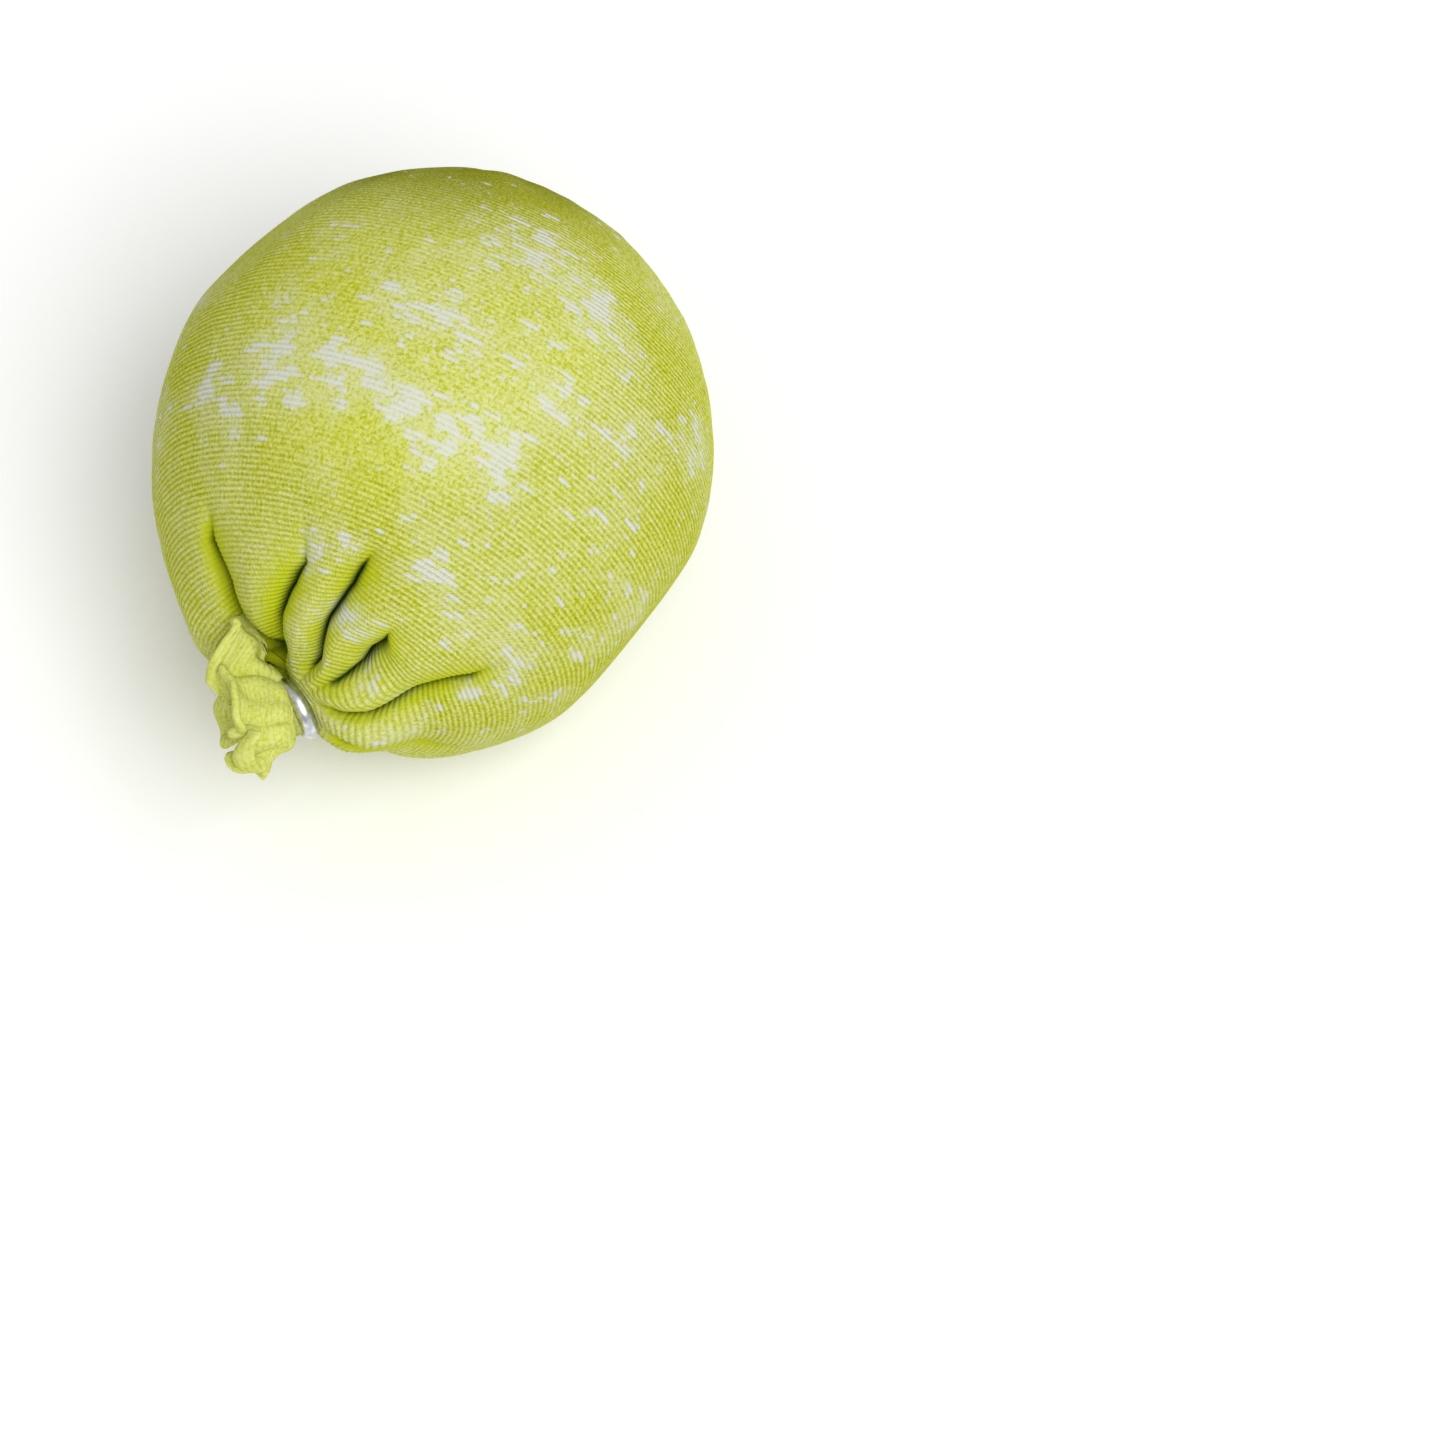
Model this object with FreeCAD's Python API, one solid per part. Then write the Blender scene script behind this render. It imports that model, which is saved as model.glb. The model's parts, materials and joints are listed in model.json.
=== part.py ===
import FreeCAD, Part

import math
import os

from FreeCAD import Rotation, Vector

# Herbal compress ball: a knitted tube packed with herbs, tied shut and tucked in at one end and
# clipped shut at the other. It lies on its side. All sizes are in millimetres.
#
# Frame: the origin is the middle of the flat patch that the ball rests on. +Z is up, the ball's
# long axis is parallel to Y, and the clipped neck points to -Y. The neck and its cut tail lean
# towards -X.

# The packed body of the ball: an egg shape, longer along Y than across
BALL_RADIUS = 43.8
BALL_HALF_LENGTH = 47.8
BALL_MIDDLE_Y = 1.7
AXIS_HEIGHT = 41.0
NECK_LIP_Y = -40.8
NECK_LIP_RADIUS = 4.7
NAVEL_LIP_Y = 45.9
NAVEL_LIP_RADIUS = 2.9
COVER_THICKNESS = 1.0
LAYER_GAP = 0.15
LINER_THICKNESS = 0.4

# The clipped neck, measured along its own axis from the point where it bends
NECK_PIVOT_Y = -42.6
NECK_LEAN_DEG = 33.0
NECK_KNOB_RADIUS = 4.3
NECK_KNOB_DEPTH = 1.2
NECK_STEM_RADIUS = 3.4
NECK_STEM_END = 6.6
CLIP_MIDDLE = 4.6
CLIP_WIDTH = 2.6
CLIP_BORE_RADIUS = 3.8
CLIP_THICKNESS = 1.6
CLIP_SPLIT_DEG = 5.0
CLIP_FIT_GAP = 0.05

# The cut tail past the clip, measured along its own axis from the ball that it turns on
TAIL_PIVOT = 7.4
TAIL_LEAN_DEG = 55.0
TAIL_BALL_RADIUS = 2.5
TAIL_SOCKET_GAP = 0.3
TAIL_LENGTH = 10.5
TAIL_RADIUS = 9.4
CLOTH_THICKNESS = 1.1
FRILLS = 5
FRILL_DEPTH = 2.2

# The tied ends that are tucked inside
TUFT_OUTER_Y = 46.5
TUFT_WAIST_Y = 44.1
TUFT_INNER_Y = 40.9
TUFT_WAIST_RADIUS = 2.0
TUFT_INNER_RADIUS = 4.6
THREAD_RADIUS = 0.3
THREAD_TURNS = 3
LINER_OPENING_RADIUS = 2.4
LINER_MOUTH_Y = (-34.5, -35.8, -37.6)
LINER_MOUTH_RADII = (3.2, 2.0, 3.0)
LINER_STRING_RADIUS = 0.4

# The pieces of root, stalk, peel, leaf and camphor set in the outside of the packed herbs
PIECE_ROWS_DEG = (-42.0, -21.0, 0.0, 21.0, 42.0)
PIECES_PER_ROW = (8, 10, 11, 10, 8)
PIECE_SINK = 1.0
POCKET_GAP = 0.15
POCKET_REACH = 12.0
CLEAR_OF_REST_DEG = 42.0

# Half-outline of the knitted cover from the neck's lip to the navel's lip: (y, radius). Between its
# two turned-in ends it follows the egg shape, at these angles from the ball's widest ring.
EGG_DEGREES = (-62, -48, -33, -17, 0, 17, 33, 48, 60, 70)
EGG = [(BALL_MIDDLE_Y + BALL_HALF_LENGTH * math.sin(math.radians(angle)),
        BALL_RADIUS * math.cos(math.radians(angle))) for angle in EGG_DEGREES]
NECK_END = [(NECK_LIP_Y, NECK_LIP_RADIUS), (-41.7, 7.0), (-43.2, 10.2), (-42.7, 14.6)]
NAVEL_END = [(48.9, 9.6), (48.7, 5.6), (NAVEL_LIP_Y, NAVEL_LIP_RADIUS)]
COVER_OUTLINE = NECK_END + EGG + NAVEL_END
# The packed herbs follow the cover between these rows of its outline and dip in at both ends
BODY_ROWS = (5, 11)
NECK_DIMPLE = [(-33.8, 4.6), (-35.2, 9.4), (-36.2, 15.0), (-36.0, 22.0)]
NAVEL_DIMPLE = [(40.6, 21.5), (42.9, 15.0), (42.7, 10.6), (41.1, 7.6), (39.5, 4.4)]

BALL_CENTRE = Vector(0, 0, AXIS_HEIGHT)
NECK_POINT = Vector(0, NECK_PIVOT_Y, AXIS_HEIGHT)
PACK_OFFSET = COVER_THICKNESS + 2 * LAYER_GAP + LINER_THICKNESS


def spline(points):
    curve = Part.BSplineCurve()
    curve.interpolate([Vector(r, y, 0) for y, r in points])
    return curve


def offset_outline(points, inward, rows, steps=16):
    """Even steps along the outline between two of its rows, moved towards the inside of the ball."""
    curve = spline(points)
    start, end = [curve.parameter(Vector(points[row][1], points[row][0], 0)) for row in rows]
    moved = []
    for k in range(steps + 1):
        u = start + (end - start) * k / steps
        place, tangent = curve.value(u), curve.tangent(u)[0]
        moved.append((place.y + inward * tangent.x, place.x - inward * tangent.y))
    return moved


def turned(wire_edges):
    """A closed half-section in (radius, y), turned about the ball's long axis and lifted to it.

    The turn starts straight down, so that the surface's seam is clear of everything set in it.
    """
    face = Part.Face(Part.Wire(wire_edges))
    face.rotate(Vector(0, 0, 0), Vector(0, 1, 0), 90)
    solid = face.revolve(Vector(0, 0, 0), Vector(0, 1, 0), 360)
    solid.translate(BALL_CENTRE)
    return solid


def line(a, b):
    return Part.makeLine(Vector(a[1], a[0], 0), Vector(b[1], b[0], 0))


def above(solid, height):
    """What is left of a solid above the plane z = height, where the ball's weight flattens it."""
    size = 4 * BALL_RADIUS
    keep = Part.makeBox(size, size, size, Vector(-size / 2, -size / 2, height))
    return solid.common(keep).Solids[0]


def packed_outline(inward):
    """Outline of the herbs, or of the liner round them."""
    body = offset_outline(COVER_OUTLINE, inward, BODY_ROWS)
    grown = PACK_OFFSET - inward
    neck = [(y - grown, r) for y, r in NECK_DIMPLE]
    navel = [(y + grown, r) for y, r in NAVEL_DIMPLE]
    return neck + body + navel


def filled(outline, floor):
    """The solid inside an outline whose ends are flat discs, cut off at the height floor."""
    first, last = outline[0], outline[-1]
    foot, head = (first[0], 0), (last[0], 0)
    edges = [spline(outline).toShape(), line(last, head), line(head, foot), line(foot, first)]
    return above(turned(edges), floor)


def packed_solid(inward):
    return filled(packed_outline(inward), inward)


def plug(y_from, y_to, radius):
    """A cylinder on the ball's long axis, for cutting an opening."""
    return Part.makeCylinder(radius, y_to - y_from, Vector(0, y_from, AXIS_HEIGHT), Vector(0, 1, 0))


def knit_cover():
    inner = offset_outline(COVER_OUTLINE, COVER_THICKNESS, (0, len(COVER_OUTLINE) - 1))
    inner[0] = (NECK_LIP_Y + COVER_THICKNESS, NECK_LIP_RADIUS)
    inner[-1] = (NAVEL_LIP_Y - COVER_THICKNESS, NAVEL_LIP_RADIUS)
    shell = filled(COVER_OUTLINE, 0).cut(filled(inner, COVER_THICKNESS))
    neck_hole = plug(NECK_LIP_Y - 1, NECK_LIP_Y + 2 * COVER_THICKNESS, NECK_LIP_RADIUS)
    navel_hole = plug(NAVEL_LIP_Y - 2 * COVER_THICKNESS, NAVEL_LIP_Y + 1, NAVEL_LIP_RADIUS)
    return shell.cut([neck_hole, navel_hole]).Solids[0]


def liner_pouch():
    outside = packed_solid(COVER_THICKNESS + LAYER_GAP)
    inside = packed_solid(COVER_THICKNESS + LAYER_GAP + LINER_THICKNESS)
    opening = plug(NECK_LIP_Y, 0, LINER_OPENING_RADIUS)
    return outside.cut([inside, opening]).Solids[0]


def hourglass(ys, radii):
    """A gathered bundle of cloth about the ball's long axis: wide, waisted, wide again."""
    a, b, c = zip(ys, radii)
    edges = [spline([a, b, c]).toShape(), line(c, (c[0], 0)),
             line((c[0], 0), (a[0], 0)), line((a[0], 0), a)]
    return turned(edges)


def ring_about_axis(y, ring_radius, wire_radius):
    centre = Vector(0, y, AXIS_HEIGHT)
    return Part.makeTorus(ring_radius, wire_radius, centre, Vector(0, 1, 0))


def end_tuft():
    outer_radius = NAVEL_LIP_RADIUS - 0.3
    ys = (TUFT_OUTER_Y, TUFT_WAIST_Y, TUFT_INNER_Y)
    return hourglass(ys, (outer_radius, TUFT_WAIST_RADIUS, TUFT_INNER_RADIUS))


def tuft_thread():
    turns = []
    for k in range(THREAD_TURNS):
        y = TUFT_WAIST_Y + (k - (THREAD_TURNS - 1) / 2) * 2.2 * THREAD_RADIUS
        turns.append(ring_about_axis(y, TUFT_WAIST_RADIUS + 1.6 * THREAD_RADIUS, THREAD_RADIUS))
    return Part.makeCompound(turns)


def liner_mouth():
    return hourglass(LINER_MOUTH_Y, LINER_MOUTH_RADII)


def liner_string():
    ring_radius = LINER_MOUTH_RADII[1] + 1.5 * LINER_STRING_RADIUS
    return ring_about_axis(LINER_MOUTH_Y[1], ring_radius, LINER_STRING_RADIUS)


def leaning(degrees):
    """The direction that points out of the neck's end of the ball and leans towards -X."""
    lean = math.radians(degrees)
    return Vector(-math.sin(lean), -math.cos(lean), 0)


TAIL_POINT = NECK_POINT + leaning(NECK_LEAN_DEG) * TAIL_PIVOT


def set_on(solid, point, direction):
    """Moves a solid built along +Z from the origin so that it starts at point, in direction."""
    placed = solid.copy()
    placed.Placement = FreeCAD.Placement(point, Rotation(Vector(0, 0, 1), direction))
    return placed


def on_neck(solid):
    return set_on(solid, NECK_POINT, leaning(NECK_LEAN_DEG))


def neck_gather():
    """The gathered cloth from the ball's neck through the clip, with a round knob at its root."""
    wide = 4 * NECK_KNOB_RADIUS
    front = Part.makeBox(wide, wide, wide, Vector(-wide / 2, -wide / 2, -NECK_KNOB_DEPTH))
    knob = Part.makeSphere(NECK_KNOB_RADIUS).common(front)
    stem = Part.makeCylinder(NECK_STEM_RADIUS, NECK_STEM_END)
    clip_face = Vector(0, 0, CLIP_MIDDLE - CLIP_WIDTH / 2)
    held = Part.makeCylinder(CLIP_BORE_RADIUS - CLIP_FIT_GAP, CLIP_WIDTH, clip_face)
    socket = Part.makeSphere(TAIL_BALL_RADIUS + TAIL_SOCKET_GAP, Vector(0, 0, TAIL_PIVOT))
    return on_neck(knob.fuse([stem, held]).cut(socket).removeSplitter().Solids[0])


def clip_ring():
    """A bent wire clip with a flat bore and a rounded back, its two ends almost meeting."""
    low, high = CLIP_MIDDLE - CLIP_WIDTH / 2, CLIP_MIDDLE + CLIP_WIDTH / 2
    back = CLIP_BORE_RADIUS + CLIP_THICKNESS
    flat = 0.25 * CLIP_THICKNESS
    corners = [Vector(CLIP_BORE_RADIUS, 0, low), Vector(CLIP_BORE_RADIUS, 0, high),
               Vector(CLIP_BORE_RADIUS + flat, 0, high), Vector(CLIP_BORE_RADIUS + flat, 0, low)]
    edges = [Part.makeLine(corners[0], corners[1]), Part.makeLine(corners[1], corners[2]),
             Part.Arc(corners[2], Vector(back, 0, CLIP_MIDDLE), corners[3]).toShape(),
             Part.makeLine(corners[3], corners[0])]
    face = Part.Face(Part.Wire(edges))
    face.rotate(Vector(0, 0, 0), Vector(0, 0, 1), CLIP_SPLIT_DEG / 2)
    return on_neck(face.revolve(Vector(0, 0, 0), Vector(0, 0, 1), 360 - CLIP_SPLIT_DEG))


def wavy_wire(height, radius, depth, steps_per_wave=8):
    """A closed wavy line round the tail at one height."""
    steps = FRILLS * steps_per_wave
    points = []
    for k in range(steps):
        angle = 2 * math.pi * k / steps
        r = radius + depth * math.cos(FRILLS * angle)
        points.append(Vector(r * math.cos(angle), r * math.sin(angle), height))
    curve = Part.BSplineCurve()
    curve.interpolate(points, True)
    return Part.Wire(curve.toShape())


def tail_frill():
    """The cut end of the tube past the clip: a ball in the neck's socket, flaring to a frill."""
    narrow = TAIL_RADIUS - TAIL_BALL_RADIUS
    shares = ((0.05, 0.0, 0.0), (0.25, 0.30, 0.3), (0.55, 0.68, 0.7), (1.0, 1.0, 1.0))
    levels = [(TAIL_LENGTH * up, 0.8 * TAIL_BALL_RADIUS + narrow * out, FRILL_DEPTH * wave)
              for up, out, wave in shares]
    outside = [wavy_wire(h, r, d) for h, r, d in levels]
    inside = [wavy_wire(h + CLOTH_THICKNESS, r - CLOTH_THICKNESS, 0.8 * d)
              for h, r, d in levels[1:]]
    flare = Part.makeLoft(outside, True).cut(Part.makeLoft(inside, True))
    frill = flare.fuse(Part.makeSphere(TAIL_BALL_RADIUS)).Solids[0]
    return set_on(frill, TAIL_POINT, leaning(TAIL_LEAN_DEG))


def disc(radius, thickness):
    return Part.makeCylinder(radius, thickness)


def stalk_round(radius, thickness):
    return disc(radius, thickness).cut(disc(0.35 * radius, thickness))


def peel_strip(length, width, thickness):
    strip = Part.makeBox(length, width, thickness, Vector(-length / 2, -width / 2, 0))
    upright = [e for e in strip.Edges if abs(e.Vertexes[0].Z - e.Vertexes[1].Z) > 0.1]
    return strip.makeFillet(0.3 * width, upright)


def leaf_piece(length, width, thickness):
    """A leaf torn to a lens shape."""
    tip, side = Vector(length / 2, 0, 0), Vector(0, width / 2, 0)
    edges = [Part.Arc(-tip, side, tip).toShape(), Part.Arc(tip, -side, -tip).toShape()]
    return Part.Face(Part.Wire(edges)).extrude(Vector(0, 0, thickness))


def crystal(size):
    cube = Part.makeBox(size, size, size, Vector(-size / 2, -size / 2, 0))
    return cube.makeChamfer(0.18 * size, cube.Edges)


# Each kind of piece: its node, how thick it is, and what makes it (grown 0) or its pocket's outline
HERB_KINDS = (
    ("turmeric_slices", 2.2, lambda grown: disc(5.6 + grown, 2.2)),
    ("lemongrass_rounds", 3.0, lambda grown: disc(4.2 + grown, 3.0) if grown else stalk_round(4.2, 3.0)),
    ("lime_peel_strips", 1.6, lambda grown: peel_strip(12.0 + 2 * grown, 6.5 + 2 * grown, 1.6)),
    ("ginger_slices", 2.6, lambda grown: disc(6.8 + grown, 2.6)),
    ("camphor_lumps", 4.0, lambda grown: disc(3.1 + grown, 4.0) if grown else crystal(4.0)),
    ("lime_leaf_pieces", 0.6, lambda grown: leaf_piece(13.0 + 4 * grown, 7.5 + 2 * grown, 0.6)),
)


def herb_places():
    """Where each piece is set: (kind's number, placement with +Z outward at the herbs' surface)."""
    curve = spline(packed_outline(PACK_OFFSET))
    places = []
    for row, (latitude, count) in enumerate(zip(PIECE_ROWS_DEG, PIECES_PER_ROW)):
        rise = math.radians(latitude)
        u = curve.parameter(Vector(math.cos(rise), math.sin(rise), 0) * BALL_RADIUS)
        point, tangent = curve.value(u), curve.tangent(u)[0]
        for k in range(count):
            around = 360.0 * (k + 0.5 * (row % 2)) / count
            if abs(around - 180.0) < CLEAR_OF_REST_DEG:
                continue
            spin = Rotation(Vector(0, 1, 0), around)
            out = spin.multVec(Vector(0, -tangent.x, tangent.y))
            spot = BALL_CENTRE + spin.multVec(Vector(0, point.y, point.x))
            roll = Rotation(Vector(0, 0, 1), 37.0 * k)
            turn = Rotation(Vector(0, 0, 1), out).multiply(roll)
            places.append(((2 * row + k) % len(HERB_KINDS), FreeCAD.Placement(spot, turn)))
    return places


def herbs():
    """The packed herbs with a pocket for every larger piece, and the pieces of each kind."""
    core = packed_solid(PACK_OFFSET)
    pieces = {name: [] for name, _, _ in HERB_KINDS}
    for kind, place in herb_places():
        name, thickness, make = HERB_KINDS[kind]
        down = FreeCAD.Placement(Vector(0, 0, -PIECE_SINK - thickness), Rotation())
        piece = make(0)
        piece.Placement = place.multiply(down)
        pieces[name].append(piece)
        seat = make(POCKET_GAP)
        bottom = min(seat.Faces, key=lambda f: f.CenterOfMass.z)
        outline = Part.Face(max(bottom.Wires, key=lambda w: w.BoundBox.DiagonalLength))
        pocket = outline.extrude(Vector(0, 0, thickness + POCKET_REACH))
        pocket.translate(Vector(0, 0, -POCKET_GAP))
        pocket.Placement = place.multiply(down).multiply(pocket.Placement)
        core = core.cut(pocket)
    nodes = {name: Part.makeCompound(solids) for name, solids in pieces.items()}
    nodes["herb_pack"] = core
    return nodes


def main():
    os.makedirs("parts", exist_ok=True)
    nodes = {
        "knit_cover": knit_cover(),
        "end_tuft": end_tuft(),
        "tuft_thread": tuft_thread(),
        "liner_pouch": liner_pouch(),
        "liner_mouth": liner_mouth(),
        "liner_string": liner_string(),
        "neck_gather": neck_gather(),
        "clip_ring": clip_ring(),
        "tail_frill": tail_frill(),
    }
    nodes.update(herbs())
    for name, shape in nodes.items():
        shape.exportStep("parts/" + name + ".step")
        print(name, "solids", len(shape.Solids), "valid", shape.isValid(),
              "volume", round(shape.Volume, 1))


main()
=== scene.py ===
import json
import math

import bpy
import numpy as np
from mathutils import Matrix, Vector
from mathutils.bvhtree import BVHTree


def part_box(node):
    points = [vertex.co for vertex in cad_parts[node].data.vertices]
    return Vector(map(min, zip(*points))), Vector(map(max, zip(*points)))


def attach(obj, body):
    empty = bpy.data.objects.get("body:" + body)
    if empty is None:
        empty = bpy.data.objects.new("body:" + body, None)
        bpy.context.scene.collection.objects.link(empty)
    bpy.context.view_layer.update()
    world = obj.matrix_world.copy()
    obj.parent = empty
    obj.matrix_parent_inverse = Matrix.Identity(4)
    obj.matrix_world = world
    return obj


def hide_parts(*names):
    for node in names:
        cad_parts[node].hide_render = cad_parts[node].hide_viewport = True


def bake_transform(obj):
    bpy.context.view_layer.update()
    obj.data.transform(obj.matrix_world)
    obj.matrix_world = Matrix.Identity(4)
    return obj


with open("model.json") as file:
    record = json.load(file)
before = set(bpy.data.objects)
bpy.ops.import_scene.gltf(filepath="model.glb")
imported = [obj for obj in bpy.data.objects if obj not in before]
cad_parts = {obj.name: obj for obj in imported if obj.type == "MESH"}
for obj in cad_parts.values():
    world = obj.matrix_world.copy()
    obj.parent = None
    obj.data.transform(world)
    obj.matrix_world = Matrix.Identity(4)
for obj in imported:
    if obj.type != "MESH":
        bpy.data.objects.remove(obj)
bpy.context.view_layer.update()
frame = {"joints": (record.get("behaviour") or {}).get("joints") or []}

# The looks of a herbal compress ball. Lengths are millimetres until mesh_from_grid() and the camera and
# lights turn them into metres. Angles round the ball are degrees about its long axis, from +X towards +Z.
MM = 0.001
TURN = 2 * math.pi

# --- What the frame says -----------------------------------------------------------------------

JOINTS = {joint["name"]: joint for joint in frame["joints"]}
NECK_POINT = np.array(JOINTS["neck_flex"]["pos_m"]) / MM
TAIL_POINT = np.array(JOINTS["tail_flop"]["pos_m"]) / MM
AXIS_Z = NECK_POINT[2]


def node_box(node):
    """A CAD node's lowest and highest corners, in millimetres."""
    low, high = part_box(node)
    return np.array(low) / MM, np.array(high) / MM


def node_middle(node):
    low, high = node_box(node)
    return (low + high) / 2


COVER_LOW, COVER_HIGH = node_box("knit_cover")
BALL_RADIUS = (COVER_HIGH[0] - COVER_LOW[0]) / 2
NECK_DIRECTION = (TAIL_POINT - NECK_POINT) / np.linalg.norm(TAIL_POINT - NECK_POINT)
NECK_LEAN = math.atan2(-NECK_DIRECTION[0], -NECK_DIRECTION[1])
CLIP_REACH = np.dot(node_middle("clip_ring") - NECK_POINT, NECK_DIRECTION)
TAIL_LEAN = NECK_LEAN + math.radians(30)

# --- The knit ----------------------------------------------------------------------------------

# Stitches round the ball, the distance between rows of them, and the mesh's points for each. The
# cover's mesh is split where its radius first passes the rim, and the rows next to it are the
# shoulder that the tail lies near.
WALES = 300
COURSE_PITCH = 0.87
ROWS_PER_COURSE = 4
COLUMNS = 300
RIDGE_HEIGHT = 0.15
NECK_RIM_RADIUS = 10.5
SHOULDER_ROWS = 90
CLIP_HALF_WIDTH = 1.3

# The ball's outline along the crests of its folds, neck held straight: (y, radius)
EGG_MIDDLE_Y = 1.7
EGG_HALF_LENGTH = 47.8
EGG_DEGREES = (-58, -48, -33, -17, 0, 17, 33, 48, 60, 69)
EGG = [(EGG_MIDDLE_Y + EGG_HALF_LENGTH * math.sin(math.radians(a)),
        BALL_RADIUS * math.cos(math.radians(a))) for a in EGG_DEGREES]
CLIP_Y = NECK_POINT[1] - CLIP_REACH
NECK_END = [(CLIP_Y - 3.3, 2.2), (CLIP_Y - 2.4, 3.2), (CLIP_Y - 1.2, 3.6), (CLIP_Y, 3.65),
            (CLIP_Y + 1.1, 3.75), (CLIP_Y + 1.45, 4.6), (CLIP_Y + 1.7, 5.9), (CLIP_Y + 2.3, 8.0),
            (CLIP_Y + 3.3, 11.2), (CLIP_Y + 4.9, 15.6)]
NAVEL_END = [(49.3, 9.6), (49.1, 6.4), (48.0, 4.4), (46.4, 3.5), (45.2, 3.2)]


class Crease:
    """A fold's valley, as angles round the ball at angles from the gathered pole, all in degrees.

    It deepens over rise, holds, and fades over fade. Its lap leans one side over the other, and a
    pocket is a deeper pit: where, how long and how much deeper.
    """

    def __init__(self, path, depth, rise, fade, width, lap=0.0, pocket=None):
        self.at, self.angle = zip(*path)
        self.depth, self.rise, self.fade = depth, rise, fade
        self.width, self.lap, self.pocket = width, lap, pocket

    def angle_at(self, polar):
        return np.interp(polar, self.at, self.angle)

    def depth_at(self, polar):
        depth = self.depth * smoothstep(*self.rise, polar) * (1 - smoothstep(*self.fade, polar))
        if self.pocket:
            middle, extent, extra = self.pocket
            depth = depth + extra * np.exp(-((polar - middle) / extent) ** 2)
        return depth

    def width_at(self, polar):
        return self.width * (0.45 + 0.55 * smoothstep(4, self.fade[1], polar))


def smoothstep(low, high, value):
    t = np.clip((value - low) / (high - low), 0, 1)
    return t * t * (3 - 2 * t)


NECK_CREASES = [
    Crease([(4, 172), (8, 166), (12, 159), (17, 151), (23, 144), (30, 139), (45, 135)],
           7.4, (4, 11), (30, 50), 2.8, 2.8),
    Crease([(4, 162), (8, 153), (12, 141), (15, 133), (19, 124), (24, 115), (30, 107), (36, 101)],
           5.8, (6, 14), (24, 50), 3.6, -0.4),
    Crease([(4, 106), (9, 100), (13, 95), (22, 89), (29, 84), (34, 81), (50, 78)],
           5.8, (6, 13), (34, 48), 2.6, 0.3),
    Crease([(4, 84), (8, 78), (12, 70), (17, 62), (23, 60), (28, 62), (40, 61), (50, 57)],
           3.8, (6, 15), (20, 38), 3.8, -0.7, (19, 6.0, 5.0)),
    Crease([(4, 66), (7, 53), (10, 36), (14, 28), (27, 27), (40, 24)],
           5.6, (5, 11), (28, 44), 2.5, -1.5),
    Crease([(4, 10), (8, -12), (14, -30), (36, -36)], 4.0, (4, 12), (16, 40), 3.4, 0.3),
    Crease([(4, -50), (14, -72), (34, -78)], 4.8, (4, 12), (20, 44), 3.4, -0.5),
    Crease([(4, -100), (14, -116), (30, -120)], 4.2, (4, 12), (16, 38), 3.4, 0.4),
    Crease([(4, -165), (14, -166), (28, -155), (33, -160)], 4.6, (4, 12), (24, 42), 3.0, 0.5),
    Crease([(4, 174), (14, 170), (26, 176)], 2.6, (4, 10), (12, 30), 2.8),
]
NAVEL_CREASES = [
    Crease([(3, 10), (14, 20), (42, 22)], 5.6, (3, 12), (18, 44), 3.2, 0.9, (16, 5, 1.5)),
    Crease([(3, 66), (16, 60), (36, 58)], 4.8, (3, 12), (12, 34), 3.2, -0.6),
    Crease([(3, 118), (16, 104), (40, 96)], 4.2, (3, 12), (12, 32), 3.6, 0.4),
    Crease([(3, 158), (14, 150), (40, 140)], 4.8, (3, 12), (14, 36), 3.2, -0.5),
    Crease([(3, 204), (14, 196), (44, 186)], 6.2, (3, 12), (22, 54), 3.0, 0.9, (15, 6, 1.4)),
    Crease([(3, 250), (16, 246), (36, 238)], 4.0, (3, 12), (12, 38), 3.6, 0.4),
    Crease([(3, 300), (14, 296), (40, 292)], 5.2, (3, 12), (16, 44), 3.4, -0.5),
    Crease([(3, 338), (16, 336), (32, 340)], 3.4, (3, 12), (10, 30), 2.8, 0.3),
]


def smooth_line(points, step):
    """A smooth line through points, sampled at even distances along it."""
    points = np.array(points, float)
    ends = np.vstack([2 * points[0] - points[1], points, 2 * points[-1] - points[-2]])
    samples = []
    for a, b, c, d in zip(ends, ends[1:], ends[2:], ends[3:]):
        t = np.linspace(0, 1, 40, endpoint=False)[:, None]
        samples.append(0.5 * (2 * b + (c - a) * t + (2 * a - 5 * b + 4 * c - d) * t ** 2
                              + (3 * b - a - 3 * c + d) * t ** 3))
    line = np.vstack(samples + [points[-1:]])
    along = np.concatenate([[0], np.cumsum(np.linalg.norm(np.diff(line, axis=0), axis=1))])
    count = int(along[-1] / step) + 1
    at = np.linspace(0, along[-1], count)
    return at, np.column_stack([np.interp(at, along, line[:, k]) for k in range(line.shape[1])])


def soft_noise(points, scale, seed, octaves=3):
    """Smooth noise of about -1 to 1 at points (N, 3), made of seeded waves."""
    random = np.random.default_rng(seed)
    total = np.zeros(len(points))
    for octave in range(octaves):
        size = scale / 2 ** octave
        for _ in range(5):
            direction = random.normal(size=3)
            direction /= np.linalg.norm(direction)
            wave = points @ direction * TURN / (size * random.uniform(0.8, 1.3))
            total += np.sin(wave + random.uniform(0, TURN)) * 0.42 / 1.8 ** octave
    return total


def angle_between(a, b):
    """Signed difference of two angles in degrees, from -180 to 180."""
    return (a - b + 180) % 360 - 180


def angle_from(spot, around, down):
    """How far places are from one place, in degrees as seen from the ball's middle."""
    from_middle = spot - np.array([0, EGG_MIDDLE_Y, 0])
    unit = from_middle / np.linalg.norm(from_middle, axis=1)[:, None]
    a, t = math.radians(around), math.radians(down)
    centre = np.array([math.sin(t) * math.cos(a), -math.cos(t), math.sin(t) * math.sin(a)])
    return np.degrees(np.arccos(np.clip(unit @ centre, -1, 1)))


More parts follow.
